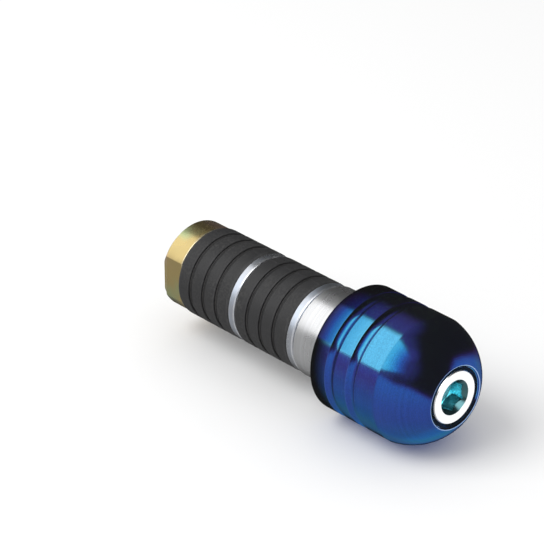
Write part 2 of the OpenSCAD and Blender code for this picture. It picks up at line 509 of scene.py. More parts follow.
@shared("Turned Piece")
def turned_tree(name):
    """Turns a section about the X axis, with hexagon, knurl, thread, parting line and flats where marked."""
    outputs = [("Mesh", "Geometry")]
    tree, n, given, result = new_group(name, TURNED_INPUTS, outputs, "GeometryNodeTree")
    rings = n.add("GeometryNodeAttributeDomainSize", {0: given["Section"]}).outputs["Point Count"]
    around = n.plus(given["Segments"], 1)
    grid = n.add("GeometryNodeMeshGrid", {"Vertices X": rings, "Vertices Y": around}).outputs["Mesh"]
    index = n.add("GeometryNodeInputIndex").outputs[0]
    place = n.math("FLOOR", n.over(n.plus(index, 0.5), around))
    step = n.minus(index, n.times(place, around))
    turn = n.over(step, given["Segments"])
    angle = n.times(turn, FULL_TURN)

    def sampled(value, data_type="FLOAT"):
        inputs = {"Geometry": given["Section"], "Value": value, "Index": place}
        return n.add("GeometryNodeSampleIndex", inputs, data_type=data_type, domain="POINT").outputs[0]

    def mark(attribute):
        return sampled(n.add("GeometryNodeInputNamedAttribute", {"Name": attribute}).outputs[0])

    spot = sampled(n.add("GeometryNodeInputPosition").outputs[0], "FLOAT_VECTOR")
    x, r, _ = n.split(spot)
    marked = {kind: mark(kind) for kind in KINDS}

    corner_r = hexagon_radius(n, r, angle)
    six_sided = n.most(marked["hexagon"], marked["leaning"])
    lean = n.times(marked["leaning"], n.minus(corner_r, r))
    x = n.plus(x, lean)
    r = n.mix(six_sided, r, corner_r)

    wave = n.math("COSINE", n.times(angle, given["Ribs"]))
    valley = n.times(n.minus(1.0, wave), n.times(given["Rib Depth"], 0.5))
    r = n.minus(r, n.times(valley, marked["ribbed"]))

    beside = n.over(n.math("ABSOLUTE", n.math("COSINE", angle)), SEAM_WIDTH)
    ridge = n.times(n.most(n.minus(1.0, beside), 0.0), given["Seam Height"])
    r = n.plus(r, n.times(ridge, marked["moulded"]))

    led = n.plus(x, n.times(turn, given["Thread Lead"]))
    led = n.least(n.most(led, given["Thread Start"]), given["Thread End"])
    from_start = n.minus(led, given["Thread Start"])
    from_end = n.minus(given["Thread End"], led)
    faded = held_between(n, r, given["Start Radius"], from_start)
    faded = held_between(n, faded, given["End Radius"], from_end)
    x = n.mix(marked["threaded"], x, led)
    r = n.mix(marked["threaded"], r, faded)

    y = held_between(n, n.times(r, n.math("COSINE", angle)), 0.0, given["Half Width"])
    z = n.times(r, n.math("SINE", angle))
    position = n.add("ShaderNodeCombineXYZ", {0: x, 1: y, 2: z}).outputs[0]
    mesh = n.add("GeometryNodeSetPosition", {"Geometry": grid, "Position": position}).outputs[0]
    for attribute, value in (("edge", mark("edge")), ("bare", marked["bare"])):
        inputs = {"Geometry": mesh, "Name": attribute, "Value": value}
        mesh = n.add("GeometryNodeStoreNamedAttribute", inputs).outputs[0]
    mesh = n.add("GeometryNodeMergeByDistance", {"Geometry": mesh, "Distance": WELD}).outputs[0]
    bend = n.add("GeometryNodeInputMeshEdgeAngle").outputs["Unsigned Angle"]
    inputs = {"Geometry": mesh, "Shade Smooth": n.math("LESS_THAN", bend, SHARP)}
    mesh = n.add("GeometryNodeSetShadeSmooth", inputs, domain="EDGE").outputs[0]
    mesh = n.add("GeometryNodeRealizeInstances", {0: mesh}).outputs[0]
    mesh = n.add("GeometryNodeSetMaterial", {0: mesh, "Material": given["Material"]}).outputs[0]
    n.put(result["Mesh"], mesh)
    return tree


def fresh_object(name, data):
    """An object in the scene, in place of an older one of that name."""
    old = bpy.data.objects.get(name)
    if old:
        bpy.data.objects.remove(old)
    thing = bpy.data.objects.new(name, data)
    bpy.context.scene.collection.objects.link(thing)
    return thing


def section_object(name, points):
    """A line of points that holds a section and its marks, for the turning tree."""
    mesh = bpy.data.meshes.new(name)
    places = [(point.x, point.r, 0.0) for point in points]
    mesh.from_pydata(places, [(at, at + 1) for at in range(len(places) - 1)], [])
    marks = {kind: [float(point.kind == kind) for point in points] for kind in KINDS}
    marks["edge"] = [point.edge for point in points]
    for attribute, values in marks.items():
        mesh.attributes.new(attribute, "FLOAT", "POINT").data.foreach_set("value", values)
    return fresh_object(name, mesh)


def turned_piece(name, node, points, material, **inputs):
    """Turns a section into a piece that stands for a solid, and hides the solid."""
    piece = section_object(name, points)
    modifier = piece.modifiers.new("Turned Piece", "NODES")
    modifier.node_group = turned_tree()
    values = {label.replace("_", " ").title(): value for label, value in inputs.items()}
    values["Material"] = material
    for item in modifier.node_group.interface.items_tree:
        if item.in_out == "INPUT" and item.name in values:
            modifier[item.identifier] = values.pop(item.name)
    if values:
        raise ValueError(f"the turning tree has no input named {sorted(values)}")
    evaluated = piece.evaluated_get(bpy.context.evaluated_depsgraph_get())
    mesh = bpy.data.meshes.new_from_object(evaluated)
    if not mesh.polygons:
        raise ValueError(f"{name} has no faces")
    piece.modifiers.remove(modifier)
    piece.data = mesh
    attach(piece, BODY)
    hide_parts(node)
    slot_of(node)
    return piece


def slot_of(node):
    """The material slot that the record gives a node."""
    return next(part["material_slot"] for part in frame["record"]["subparts"] if part["node"] == node)


# Shader groups that several finishes share


# Broad streaks to a mm, and the noise scale at which the turning lines drift
BROAD_PER_MM = 1.3
DRIFT_SCALE = 150.0


@shared("Turning Lines")
def turning_lines(name):
    """Fine rings left by a tool. They follow the axis on walls and the radius on faces."""
    inputs = [("Lines per mm", "Float", 4.0), ("Wander", "Float", 0.05)]
    outputs = [("Height", "Float"), ("Streak", "Float")]
    tree, n, given, result = new_group(name, inputs, outputs)
    x, r = n.from_axis()
    drift = n.times(n.noise(DRIFT_SCALE, 1.0, 0.5), given["Wander"])
    along = n.plus(n.over(n.minus(x, r), MM), drift)
    n.put(result["Height"], n.noise_along(n.times(along, given["Lines per mm"]), 3.0, 0.65))
    n.put(result["Streak"], n.noise_along(n.times(along, BROAD_PER_MM), 2.0, 0.5))
    return tree


@shared("Worn Edges")
def worn_edges_and_corners(name):
    """Masks of the outer edges, broken up by handling, and of the inner corners, which take talc on the
    rubber and painted shade on the weight, the screw and the nut.
    """
    inputs = [("Scale", "Float", 900.0), ("Break up", "Float", 0.5)]
    outputs = [("Outer", "Float"), ("Inner", "Float")]
    tree, n, given, result = new_group(name, inputs, outputs)
    edge = n.mark("edge")
    patches = n.ramp(n.noise(given["Scale"], 3.0, 0.6), 0.3, 0.65)
    kept = n.mix(given["Break up"], 1.0, patches)
    n.put(result["Outer"], n.times(n.most(edge, 0.0), kept))
    n.put(result["Inner"], n.most(n.times(edge, -1.0), 0.0))
    return tree


@shared("Grain")
def grain(name):
    """Fine grain for bump and colour, and broad smudges for gloss."""
    inputs = [("Grain scale", "Float", 4000.0), ("Smudge scale", "Float", 120.0)]
    outputs = [("Grain", "Float"), ("Smudge", "Float")]
    tree, n, given, result = new_group(name, inputs, outputs)
    n.put(result["Grain"], n.noise(given["Grain scale"], 2.0, 0.6))
    n.put(result["Smudge"], n.ramp(n.noise(given["Smudge scale"], 3.0, 0.55), 0.35, 0.7))
    return tree


# Finishes


# How far outside the counterbore's wall its painted bounce light starts and is whole
PAINTED_BOUNCE_REACH = (0.06 * MM, 0.02 * MM)
# The lengths over which the socket's teal, a painted reflection, comes in: inwards from its mouth's edge,
# above the head's seat and below the countersink. Then its share on the countersink, where it paints shade,
# and the roughness of all that is teal
SOCKET_EDGE, SEAT_FADE, CONE_FADE = 0.06 * MM, 0.5 * MM, 0.1 * MM
CONE_PAINTED_SHADE, SOCKET_ROUGHNESS = 0.22, 0.22
# Size of the clouds of colour on the nut, as a noise scale
FILM_SCALE = 95.0


class Finish(Nodes):
    """A piece's material, with the worn edges, the inner corners, the grain and the turning lines that its
    look draws on.

    Edges are the scale and the break-up of the wear, specks the scales of the grain and of the smudges,
    and lines their number to a mm and their wander.
    """

    def __init__(self, name, edges, specks, lines=None):
        self.material = bpy.data.materials.new(name)
        self.material.use_nodes = True
        super().__init__(self.material.node_tree)
        self.outer, self.inner = self.group(worn_edges_and_corners(), *edges)
        self.grain, self.smudge = self.group(grain(), *specks)
        if lines:
            self.lines, self.streak = self.group(turning_lines(), *lines)

    def on_edges(self, base, share, shade):
        """A colour that nears another on the outer edges."""
        return self.blend(self.times(self.outer, share), base, shade)

    def in_corners(self, base, share, shade):
        """A colour that nears another in the inner corners: talc on the rubber, painted shade on the metal
        pieces.
        """
        return self.blend(self.times(self.inner, share), base, shade)

    def bump(self, height, depth, **below):
        """A normal bent by a height, whose full range is a depth in metres."""
        inputs = {"Strength": 1.0, "Distance": depth, "Height": height, **below}
        return self.add("ShaderNodeBump", inputs).outputs[0]

    def finished(self, inputs, grain_depth, line_depth=None):
        """The material, once its shader has its inputs and its bump."""
        normal = self.bump(self.grain, grain_depth)
        if line_depth:
            normal = self.bump(self.lines, line_depth, Normal=normal)
        shader = self.tree.nodes["Principled BSDF"]
        for name, value in {**inputs, "Normal": normal}.items():
            self.put(shader.inputs[name], value)
        return self.material


def anodised_finish(finishes, sizes):
    """Deep blue dye over bright turned aluminium, paler on worn edges. Paler and more teal in the
    counterbore as painted bounce light, with painted shade in the inner corners and a faint painted glow all
    over.
    """
    n = Finish("Anodised Blue", edges=(700.0, 0.3), specks=(5000.0, 140.0), lines=(3.6, 0.04))
    bare = n.mark("bare")
    streaks = n.ramp(n.streak, 0.25, 0.75, 0.93, 1.07, "LINEAR")
    speckle = n.ramp(n.grain, 0.35, 0.65, 0.88, 1.12, "LINEAR")
    dyed = n.scale(finishes.dye, n.times(streaks, speckle))
    edged = n.on_edges(dyed, 0.1, finishes.worn_dye)
    # Painted shade darkens the inner corners to a deep navy
    corner_shade_painted = n.in_corners(edged, 0.35, (0.006, 0.012, 0.05))
    _, r = n.from_axis()
    # Paler blue painted in the counterbore stands in for the light that bounces there
    sunk = n.ramp(r, *(sizes.counterbore_radius + reach for reach in PAINTED_BOUNCE_REACH))
    base = n.blend(sunk, corner_shade_painted, finishes.counterbore_painted_bounce)
    rough = n.mix(n.smudge, finishes.dye_roughness, finishes.dye_roughness + 0.035)
    inputs = {
        "Base Color": n.blend(bare, base, finishes.worn_dye),
        "Metallic": n.mix(bare, 1.0, 0.3),
        "Roughness": n.mix(bare, rough, 0.5),
        "Coat Weight": finishes.haze,
        "Coat Roughness": 0.8,
        # The painted glow, even all over the weight
        "Emission Color": [finishes.painted_glow] * 3,
        "Emission Strength": 1.0,
    }
    return n.finished(inputs, grain_depth=0.0012 * MM, line_depth=0.004 * MM)


def screw_finish(finishes, sizes):
    """Bright stainless steel. Its socket is a teal painted reflection with lighter painted highlights, and
    its countersink and the thread's roots are darker with painted shade.
    """
    n = Finish("Screw Steel", edges=(1200.0, 0.6), specks=(3500.0, 260.0), lines=(4.0, 0.2))
    x, r = n.from_axis()
    face, mouth = front("cap_screw"), sizes.mouth_radius
    seat = face - sizes.head_height
    # Where the socket's teal painted reflection lies
    inside = n.times(n.ramp(r, mouth, mouth - SOCKET_EDGE), n.ramp(x, seat, seat + SEAT_FADE))
    below_cone = n.minus(n.plus(r, face - mouth), x)
    bright = n.blend(n.times(n.smudge, 0.25), finishes.steel, (0.66, 0.67, 0.69))
    # Painted shade darkens the thread's roots and the other inner corners
    root_shade_painted = n.in_corners(bright, 0.7, (0.12, 0.115, 0.11))
    # Painted shade darkens the countersink, and lighter patches deeper in are painted highlights
    depth = n.mix(n.ramp(below_cone, 0.0, CONE_FADE), CONE_PAINTED_SHADE, n.mix(n.smudge, 0.3, 1.0))
    inputs = {
        "Base Color": n.blend(inside, root_shade_painted, n.scale(finishes.socket_painted_reflection, depth)),
        "Metallic": 1.0,
        "Roughness": n.mix(inside, n.mix(n.smudge, 0.2, 0.29), SOCKET_ROUGHNESS),
    }
    return n.finished(inputs, grain_depth=0.0012 * MM, line_depth=0.003 * MM)


def zinc_finish(finishes):
    """Bright zinc plating with a faint blue cast and a fine grain."""
    n = Finish("Washer Zinc", edges=(800.0, 0.7), specks=(2600.0, 180.0), lines=(2.5, 0.6))
    cast = n.blend(n.smudge, finishes.zinc, (0.6, 0.66, 0.76))
    inputs = {
        "Base Color": n.on_edges(cast, 0.6, (0.86, 0.86, 0.87)),
        "Metallic": 1.0,
        "Roughness": n.mix(n.smudge, 0.26, 0.4),
    }
    return n.finished(inputs, grain_depth=0.004 * MM, line_depth=0.002 * MM)


def aluminium_finish(finishes):
    """Bare aluminium as it comes off the lathe, with clear turning lines."""
    n = Finish("Turned Aluminium", edges=(700.0, 0.5), specks=(3800.0, 110.0), lines=(3.0, 0.03))
    streaked = n.blend(n.ramp(n.streak, 0.3, 0.7), finishes.aluminium, (0.66, 0.665, 0.68))
    inputs = {
        "Base Color": n.on_edges(streaked, 0.7, (0.9, 0.9, 0.9)),
        "Metallic": 1.0,
        "Roughness": n.mix(n.smudge, 0.24, 0.36),
    }
    return n.finished(inputs, grain_depth=0.002 * MM, line_depth=0.012 * MM)


def rubber_finish(finishes):
    """Matt black moulded rubber with fine pits, talc in its corners and rubbed edges."""
    n = Finish("Sleeve Rubber", edges=(500.0, 0.8), specks=(2200.0, 170.0))
    dust = n.times(n.smudge, n.ramp(n.grain, 0.45, 0.62))
    dusty = n.blend(n.times(dust, 0.3), finishes.rubber, (0.075, 0.073, 0.07))
    rubbed = n.on_edges(dusty, 0.35, (0.06, 0.06, 0.062))
    inputs = {
        "Base Color": n.in_corners(rubbed, 0.3, (0.14, 0.135, 0.13)),
        "Roughness": n.mix(n.smudge, 0.5, 0.66),
        "Specular IOR Level": 0.42,
    }
    return n.finished(inputs, grain_depth=0.02 * MM)


def passivated_finish(finishes):
    """Yellow passivated zinc, which shifts between straw, pink and green, with painted shade in its inner
    corners.
    """
    n = Finish("Passivated Nut", edges=(900.0, 0.6), specks=(3000.0, 230.0), lines=(3.2, 0.1))
    film = n.noise(FILM_SCALE, 2.0, 0.5)
    pink = n.blend(n.ramp(film, 0.52, 0.72), finishes.passivation, (0.6, 0.36, 0.3))
    green = n.blend(n.ramp(film, 0.48, 0.3), pink, (0.42, 0.5, 0.27))
    edged = n.on_edges(green, 0.65, (0.82, 0.78, 0.62))
    inputs = {
        # Painted shade darkens the inner corners
        "Base Color": n.in_corners(edged, 0.6, (0.1, 0.085, 0.05)),
        "Metallic": 1.0,
        "Roughness": n.mix(n.smudge, 0.24, 0.38),
    }
    return n.finished(inputs, grain_depth=0.002 * MM, line_depth=0.008 * MM)


# Pieces


WEIGHT_SEGMENTS = 256
FINE_SEGMENTS = 240
DOME_STEPS = 28
SMALL_BREAK = 0.08 * MM
RIM_BREAK = 0.03 * MM
GROOVE_BREAK = 0.06 * MM
# The knurl's ends below the head's face and above its seat, and the length in which it reaches its depth
KNURL_FRONT, KNURL_REAR, KNURL_RUN_IN = 0.9 * MM, 0.5 * MM, 0.2 * MM


def dome(sizes, nose_x, nose_r):
    """Corners along the dome, from the nose to the body: a sphere through both its ends."""
    reach = nose_x - sizes.crease
    back = (sizes.body_radius**2 - nose_r**2 - reach**2) / (2 * reach)
    whole = math.hypot(sizes.body_radius, back)
    start, end = math.asin((back + reach) / whole), math.asin(back / whole)
    tilts = [start + (end - start) * step / DOME_STEPS for step in range(1, DOME_STEPS)]
    # One more lies close beside the crease, so that its shading stays narrow
    for tilt in (*tilts, end + GUARD / whole):
        yield Corner(sizes.crease - back + whole * math.sin(tilt), whole * math.cos(tilt))


class BARWEIGHT_OT_weight(bpy.types.Operator):
    """Turn the anodised weight: grooved body, domed nose and counterbore"""

    bl_idname = "bar_weight.weight"
    bl_label = "Weight"

    def execute(self, context):
        s, clamp = context.scene.bar_weight_body, context.scene.bar_weight_set
        nose_x, seat_x = front("weight"), rear("weight")
        recess_x = front("centring_collar") + s.recess_room
        floor_x = rear("head_washer")
        mouth_r = s.counterbore_radius + s.rim_chamfer
        nose_r = mouth_r + s.rim_land
        corners = [Corner(nose_x, nose_r, RIM_BREAK), *dome(s, nose_x, nose_r)]
        corners += [Corner(s.crease, s.body_radius), Corner(s.crease - GUARD, s.body_radius)]
        for number in reversed(range(s.groove_count)):
            rear_x = s.first_groove + number * s.groove_pitch
            corners += round_groove(rear_x, s.groove_width, s.body_radius, s.groove_depth, GROOVE_BREAK)
        corners += [
            Corner(seat_x + s.rear_chamfer, s.body_radius, SMALL_BREAK),
            Corner(seat_x, s.body_radius - s.rear_chamfer, SMALL_BREAK),
            Corner(seat_x, s.recess_radius, SMALL_BREAK),
            Corner(recess_x, s.recess_radius, 2 * SMALL_BREAK),
            Corner(recess_x, clamp.bore_radius, SMALL_BREAK),
            Corner(floor_x, clamp.bore_radius, SMALL_BREAK),
            Corner(floor_x, s.counterbore_radius, 2 * SMALL_BREAK),
            Corner(nose_x - s.rim_chamfer - GUARD, s.counterbore_radius),
            Corner(nose_x - s.rim_chamfer, s.counterbore_radius),
            Corner(nose_x - 2 * GUARD, mouth_r - 2 * GUARD),
            Corner(nose_x, mouth_r, RIM_BREAK / 2, "bare"),
        ]
        finish = anodised_finish(context.scene.bar_weight_finishes, s)
        turned_piece("turned_weight", "weight", ring(corners), finish, segments=WEIGHT_SEGMENTS)
        return {"FINISHED"}


class BARWEIGHT_OT_cap_screw(bpy.types.Operator):
    """Make the cap screw: hexagon socket, knurled head, shank and thread"""

    bl_idname = "bar_weight.cap_screw"
    bl_label = "Cap Screw"

    def execute(self, context):
        s = context.scene.bar_weight_screw
        face, tip, head_r = front("cap_screw"), rear("cap_screw"), radius("cap_screw")
        apothem = s.hexagon_width / 2
        floor_x, seat_x = face - s.hexagon_depth, face - s.head_height
        mouth_x = face - (s.mouth_radius - apothem)
        knurl_front, knurl_rear = face - KNURL_FRONT, seat_x + KNURL_REAR
        top = section(
            [
                Corner(floor_x - s.pilot_cone, 0.0),
                Corner(floor_x, apothem),
                Corner(floor_x, apothem, 0.0, "hexagon"),
                Corner(mouth_x, apothem, 0.0, "leaning"),
                Corner(face, s.mouth_radius, RIM_BREAK),
                Corner(face, head_r - s.head_chamfer, RIM_BREAK),
                Corner(face - s.head_chamfer, head_r, RIM_BREAK),
                Corner(knurl_front, head_r),
                Corner(knurl_front - KNURL_RUN_IN, head_r, 0.0, "ribbed"),
                Corner(knurl_rear + KNURL_RUN_IN, head_r, 0.0, "ribbed"),
                Corner(knurl_rear, head_r),
                Corner(seat_x, head_r, 2 * SMALL_BREAK),
                Corner(seat_x, s.shank_radius, SMALL_BREAK),
                Corner(front_of_thread(s), s.shank_radius),
            ]
        )
        tail = [Point(tip, s.tip_radius, 0.0, ""), Point(tip, 0.0, 0.0, "")]
        turned_piece(
            "socket_cap_screw",
            "cap_screw",
            top + thread(s, tip, front_of_thread(s)) + tail,
            screw_finish(context.scene.bar_weight_finishes, s),
            segments=FINE_SEGMENTS,
            ribs=s.ribs,
            rib_depth=s.rib_depth,
            thread_lead=s.thread_pitch,
            thread_start=tip,
            thread_end=front_of_thread(s),
            start_radius=s.tip_radius,
            end_radius=s.shank_radius,
        )
        return {"FINISHED"}


class BARWEIGHT_OT_collar(bpy.types.Operator):
    """Turn the collar that centres the weight in the bar"""

    bl_idname = "bar_weight.collar"
    bl_label = "Centring Collar"

    def execute(self, context):
        s = context.scene.bar_weight_set
        nose, tail, outer = front("centring_collar"), rear("centring_collar"), radius("centring_collar")
        seat_x = rear("weight")
        corners = [
            Corner(nose, s.spigot_radius, 3 * SMALL_BREAK),
            Corner(seat_x, s.spigot_radius, SMALL_BREAK),
            Corner(seat_x, outer, SMALL_BREAK),
            Corner(tail + s.collar_chamfer, outer, SMALL_BREAK),
            Corner(tail, outer - s.collar_chamfer, SMALL_BREAK),
            Corner(tail, s.bore_radius, 2 * SMALL_BREAK),
            Corner(nose, s.bore_radius, 2 * SMALL_BREAK),
        ]
        finish = aluminium_finish(context.scene.bar_weight_finishes)
        turned_piece("turned_collar", "centring_collar", ring(corners), finish)
        return {"FINISHED"}


class BARWEIGHT_OT_washers(bpy.types.Operator):
    """Punch the washer under the screw's head and the two thrust washers"""

    bl_idname = "bar_weight.washers"
    bl_label = "Washers"

    def execute(self, context):
        s = context.scene.bar_weight_set
        finish = zinc_finish(context.scene.bar_weight_finishes)
        for node in ("head_washer", "front_washer", "middle_washer"):
            corners = [
                Corner(front(node), radius(node), s.die_roll),
                Corner(rear(node), radius(node), SMALL_BREAK),
                Corner(rear(node), s.bore_radius, SMALL_BREAK),
                Corner(front(node), s.bore_radius, s.die_roll),
            ]
            turned_piece("punched_" + node, node, ring(corners), finish)
        return {"FINISHED"}


class BARWEIGHT_OT_sleeves(bpy.types.Operator):
    """Mould the two rubber sleeves, the rear one with a conical mouth for the nut"""

    bl_idname = "bar_weight.sleeves"
    bl_label = "Rubber Sleeves"

    def outside(self, s, node):
        """Corners of a sleeve's outer wall, with its ring grooves, from front to rear."""
        start, end, outer = front(node), rear(node), radius(node)
        edges = (2 * SMALL_BREAK, SMALL_BREAK, "moulded")
        pitch = (start - end) / (s.ring_count + 1)
        yield Corner(start, outer, s.sleeve_edge, "moulded")
        for number in reversed(range(1, s.ring_count + 1)):
            rear_x = end + number * pitch - s.ring_width / 2
            yield from groove(rear_x, s.ring_width, outer, s.ring_depth, *edges)
        yield Corner(end, outer, s.sleeve_edge, "moulded")

    def execute(self, context):
        s = context.scene.bar_weight_set
        finish = rubber_finish(context.scene.bar_weight_finishes)
        plain_bore = [Corner(rear("front_rubber"), s.sleeve_bore, 2 * SMALL_BREAK)]
        end = rear("rear_rubber")
        slope = (s.cone_large - s.cone_small) / s.cone_length
        depth = s.cone_length + s.cone_gap
        coned_bore = [
            Corner(end, s.cone_large + s.cone_gap, 2 * SMALL_BREAK),
            Corner(end + depth, s.cone_large + s.cone_gap - slope * depth, SMALL_BREAK),
            Corner(end + depth, s.sleeve_bore, 2 * SMALL_BREAK),
        ]
        for node, inside in (("front_rubber", plain_bore), ("rear_rubber", coned_bore)):
            mouth = Corner(front(node), s.sleeve_bore, 2 * SMALL_BREAK)
            points = ring([*self.outside(s, node), *inside, mouth])
            turned_piece("moulded_" + node, node, points, finish, seam_height=s.seam_height)
        return {"FINISHED"}


class BARWEIGHT_OT_nut(bpy.types.Operator):
    """Turn the clamp nut: cone, rim with two flats, and its own thread"""

    bl_idname = "bar_weight.nut"
    bl_label = "Clamp Nut"

    def execute(self, context):
        s, screw = context.scene.bar_weight_set, context.scene.bar_weight_screw
        start, end, outer = rear("clamp_nut"), front("clamp_nut"), radius("clamp_nut")
        rim_x = end - s.cone_length
        corners = [
            Corner(end, s.nut_mouth),
            Corner(end, s.cone_small, 2 * SMALL_BREAK),
            Corner(rim_x, s.cone_large, SMALL_BREAK),
            Corner(rim_x, outer, 2 * SMALL_BREAK),
            Corner(start + s.nut_chamfer, outer, SMALL_BREAK),
            Corner(start, outer - s.nut_chamfer, SMALL_BREAK),
            Corner(start, s.nut_mouth),
        ]
        inner = list(reversed(thread(screw, start, end, s.thread_gap)))
        turned_piece(
            "threaded_nut",
            "clamp_nut",
            section(corners) + inner + [Point(end, s.nut_mouth, 0.0, "")],
            passivated_finish(context.scene.bar_weight_finishes),
            segments=FINE_SEGMENTS,
            half_width=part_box("clamp_nut")[1].y,
            thread_lead=screw.thread_pitch,
            thread_start=start,
            thread_end=end,
            start_radius=s.nut_mouth,
            end_radius=s.nut_mouth,
        )
        return {"FINISHED"}


# Stage


# The nose's rim is seen here in the photograph's 544 by 544 pixels, this size and this far away
PICTURE = 544
RIM_PIXEL = (455.66, 397.94)
PIXEL = 0.1727 * MM
FOCAL_PIXELS = 2870
SENSOR = 36
CLIP_START = 0.01

# The pieces that the plain tent lights, which are all but the weight
OTHER_PIECES = (
    "socket_cap_screw",
    "turned_collar",
    "punched_head_washer",
    "punched_front_washer",
    "punched_middle_washer",
    "moulded_front_rubber",
    "moulded_rear_rubber",
    "threaded_nut",
)
FLOOR_RADIUS = 4.0
DISC_STEPS = 96
KEY_SIZE = 0.5
BLUE_TENT_RADIUS, PLAIN_TENT_RADIUS = 0.7, 0.72
# Light in reflections where nothing else shines: the dark room's, and the least of the plain tent
ROOM, PLAIN_ROOM = 0.012, 0.08
SHADE_RADIUS, SHADE_STATION = 24.5 * MM, -0.3 * MM
# What the shade behind the rear band lets through of the softbox, by its share of the way outwards
SHADE_FADE = (
    (0.05, (0.0, 0.0, 0.0)),
    (0.13, (0.2, 0.05, 0.15)),
    (0.24, (0.13, 0.1, 0.34)),
    (0.34, (0.12, 0.26, 0.53)),
    (0.7, (0.6, 0.8, 0.87)),
    (1.0, (1.0, 1.0, 1.0)),
)
# High up the shade fades without colour: the way up in its plane, where high starts and is whole, and
# the shares of the way outwards between which it fades there
SHADE_UP, SHADE_HIGH, HIGH_FADE = (-1.0, 0.42, 0.0), (1.3 * MM, 2.3 * MM), (0.1, 0.6)
# Directions in which the body mirrors the corners of the softbox
TOP_LEFT, TOP_RIGHT = Vector((-0.589, 0.0, 0.808)), Vector((0.0, -0.292, 0.956))
FOOT_LEFT, FOOT_RIGHT = Vector((-0.589, -0.764, 0.263)), Vector((0.128, -0.859, 0.495))
SOFTBOX_MIDDLE = (TOP_LEFT + TOP_RIGHT + FOOT_LEFT + FOOT_RIGHT).normalized()
# How far inside the softbox's left, top and foot a direction lies where its light starts and is whole
SOFTBOX_LEFT, SOFTBOX_TOP, SOFTBOX_FOOT = (-0.42, -0.25), (-0.05, 0.06), (-0.006, 0.022)
# Colour of the softbox by the sine of the angle from its left edge
SOFTBOX_FADE = (
    (0.15, (0.72, 1.0, 0.4)),
    (0.3, (0.6, 0.92, 0.38)),
    (0.5, (0.3, 0.78, 0.34)),
    (0.66, (0.16, 0.45, 0.27)),
    (0.74, (0.1, 0.27, 0.23)),
    (0.8, (0.1, 0.13, 0.16)),
    (0.88, (0.09, 0.05, 0.08)),
    (0.96, (0.0, 0.0, 0.0)),
)
# Colour of the halo round the softbox, and its lobes: a direction, where it starts and where it is whole
HALO = (0.62, 0.21, 0.38)
HALO_LOBES = (
    (SOFTBOX_MIDDLE, 0.58, 0.96),
    (Vector((0.349, -0.656, 0.669)), 0.85, 1.08),
    (Vector((0.235, -0.407, 0.883)), 0.93, 1.0),
    (Vector((-0.571, 0.05, 0.819)), 0.76, 1.02),
)
# Colour of the ground by the sine of the direction's height
GROUND = (
    (-1.0, (0.33, 0.59, 0.53)),
    (-0.9, (0.45, 0.51, 0.55)),
    (-0.75, (0.6, 0.48, 0.58)),
    (-0.45, (0.63, 0.54, 0.65)),
    (-0.2, (0.6, 0.65, 0.73)),
    (0.05, (0.58, 0.77, 0.84)),
)
# Colour of the ground far to the left, which the bands mirror, and between which parts along X it starts
LEFT_GROUND = (
    (-0.76, (0.24, 0.54, 0.46)),
    (-0.6, (0.38, 0.54, 0.57)),
    (-0.4, (0.4, 0.44, 0.53)),
    (-0.2, (0.73, 0.39, 0.53)),
    (0.0, (0.86, 0.25, 0.44)),
    (0.15, (0.84, 0.32, 0.58)),
)
LEFT_STARTS = (-0.36, -0.5)
# A paler patch of ground: its direction, where it starts and is whole, and its colour
PATCH, PATCH_REACH, PATCH_COLOUR = Vector((0.07, 0.4, -0.914)), (0.87, 0.98), (0.3, 0.8, 0.72)
# The shade behind the body, by how far a direction points into it
AWAY = Vector((-0.65, 0.597, -0.471))
AWAY_SHADE = (
    (0.25, (1.0, 1.0, 1.0)),
    (0.47, (0.5, 0.8, 0.95)),
    (0.62, (0.32, 0.8, 0.95)),
    (0.75, (0.26, 0.65, 0.72)),
    (0.88, (0.1, 0.32, 0.65)),
    (0.95, (0.0, 0.0, 0.0)),
)
# The card that the screw's flat face mirrors and the one that lights its socket, each with its
# direction, where it starts, where it is whole and its radiance
CARDS = (
    (Vector((0.65, 0.597, -0.471)), 0.9, 0.96, 1.4),
    (Vector((0.55, -0.35, 0.758)), 0.84, 0.9, 3.0),
)
# Height of the ground's far edge by compass direction, both in degrees
HORIZON_LINE = (
    (-180, 14), (-105, 18), (-90, 17), (-75, 13), (-60, 12), (-45, 7),
    (-30, -2), (-15, -12), (5, 0), (30, 21), (45, 24), (60, 16),
    (75, 4), (90, -8), (105, -18), (120, -25), (160, -30), (180, 14),
)
# Where red, green and blue end and are whole, in radians above that edge
EDGE_REACHES = ((0.15, -0.04), (0.07, -0.11), (0.1, -0.1))


def made_mesh(name, make, **sizes):
    """A mesh that one bmesh operation makes."""
    mesh, shape = bpy.data.meshes.new(name), bmesh.new()
    make(shape, **sizes)
    shape.to_mesh(mesh)
    shape.free()
    return mesh


def disc(name, radius):
    """A flat round mesh, square to its own Z."""
    return made_mesh(name, bmesh.ops.create_circle, cap_ends=True, segments=DISC_STEPS, radius=radius)


def light_shell(name, mesh, shader):
    """A shape on the stage that only shiny surfaces show. A function of its nodes gives its shader."""
    shell = fresh_object(name, mesh)
    shell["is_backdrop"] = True
    shell.visible_camera = False
    shell.visible_diffuse = False
    shell.visible_shadow = False
    shell.visible_transmission = False
    material = bpy.data.materials.new(name)
    material.use_nodes = True
    material.node_tree.nodes.clear()
    material.cycles.emission_sampling = "NONE"
    n = Nodes(material.node_tree)
    n.add("ShaderNodeOutputMaterial", {"Surface": shader(n)})
    mesh.materials.append(material)
    return shell


def clear_light(n, shade):
    """A shader that adds light of a colour and hides nothing behind it."""
    light = n.add("ShaderNodeEmission", {"Color": shade}).outputs[0]
    through = n.add("ShaderNodeBsdfTransparent").outputs[0]
    return n.add("ShaderNodeAddShader", {0: light, 1: through}).outputs[0]


def side_of(a, b):
    """The normal of the plane through two directions, on the softbox's side."""
    normal = a.cross(b).normalized()
    return normal if normal.dot(SOFTBOX_MIDDLE) > 0 else -normal


